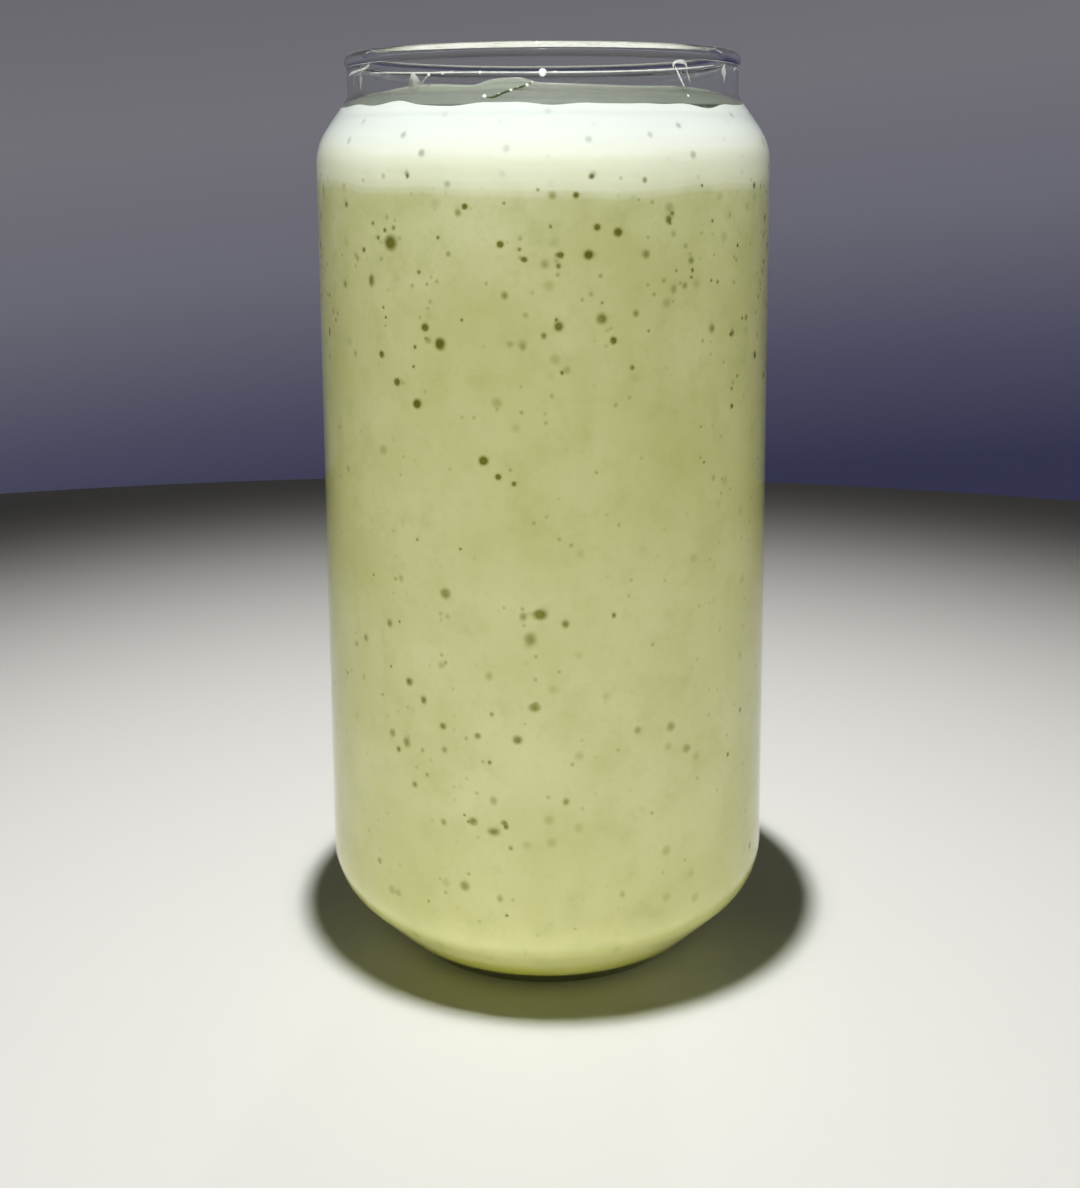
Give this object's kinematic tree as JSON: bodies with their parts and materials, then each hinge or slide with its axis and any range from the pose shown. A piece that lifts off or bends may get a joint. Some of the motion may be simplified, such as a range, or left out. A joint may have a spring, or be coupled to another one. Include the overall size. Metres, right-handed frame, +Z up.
{
  "type": "green smoothie in a can-shaped glass",
  "caption": "Tall can-shaped glass with a narrow neck and beaded lip, filled to the neck with green smoothie under a band of pale froth.",
  "frame": {"origin": "middle of the standing ring, on the surface that the glass stands on", "axes": "+Z up along the axis of the glass; the pictured side faces -Y"},
  "size_m": [0.076, 0.076, 0.152],
  "materials": {
    "glass": "clear polished",
    "smoothie": "thick opaque drink, pale olive green",
    "froth": "fine pale froth"
  },
  "bodies": {
    "root": {"glass": "glass", "smoothie": "smoothie", "froth": "froth"}
  },
  "joints": []
}
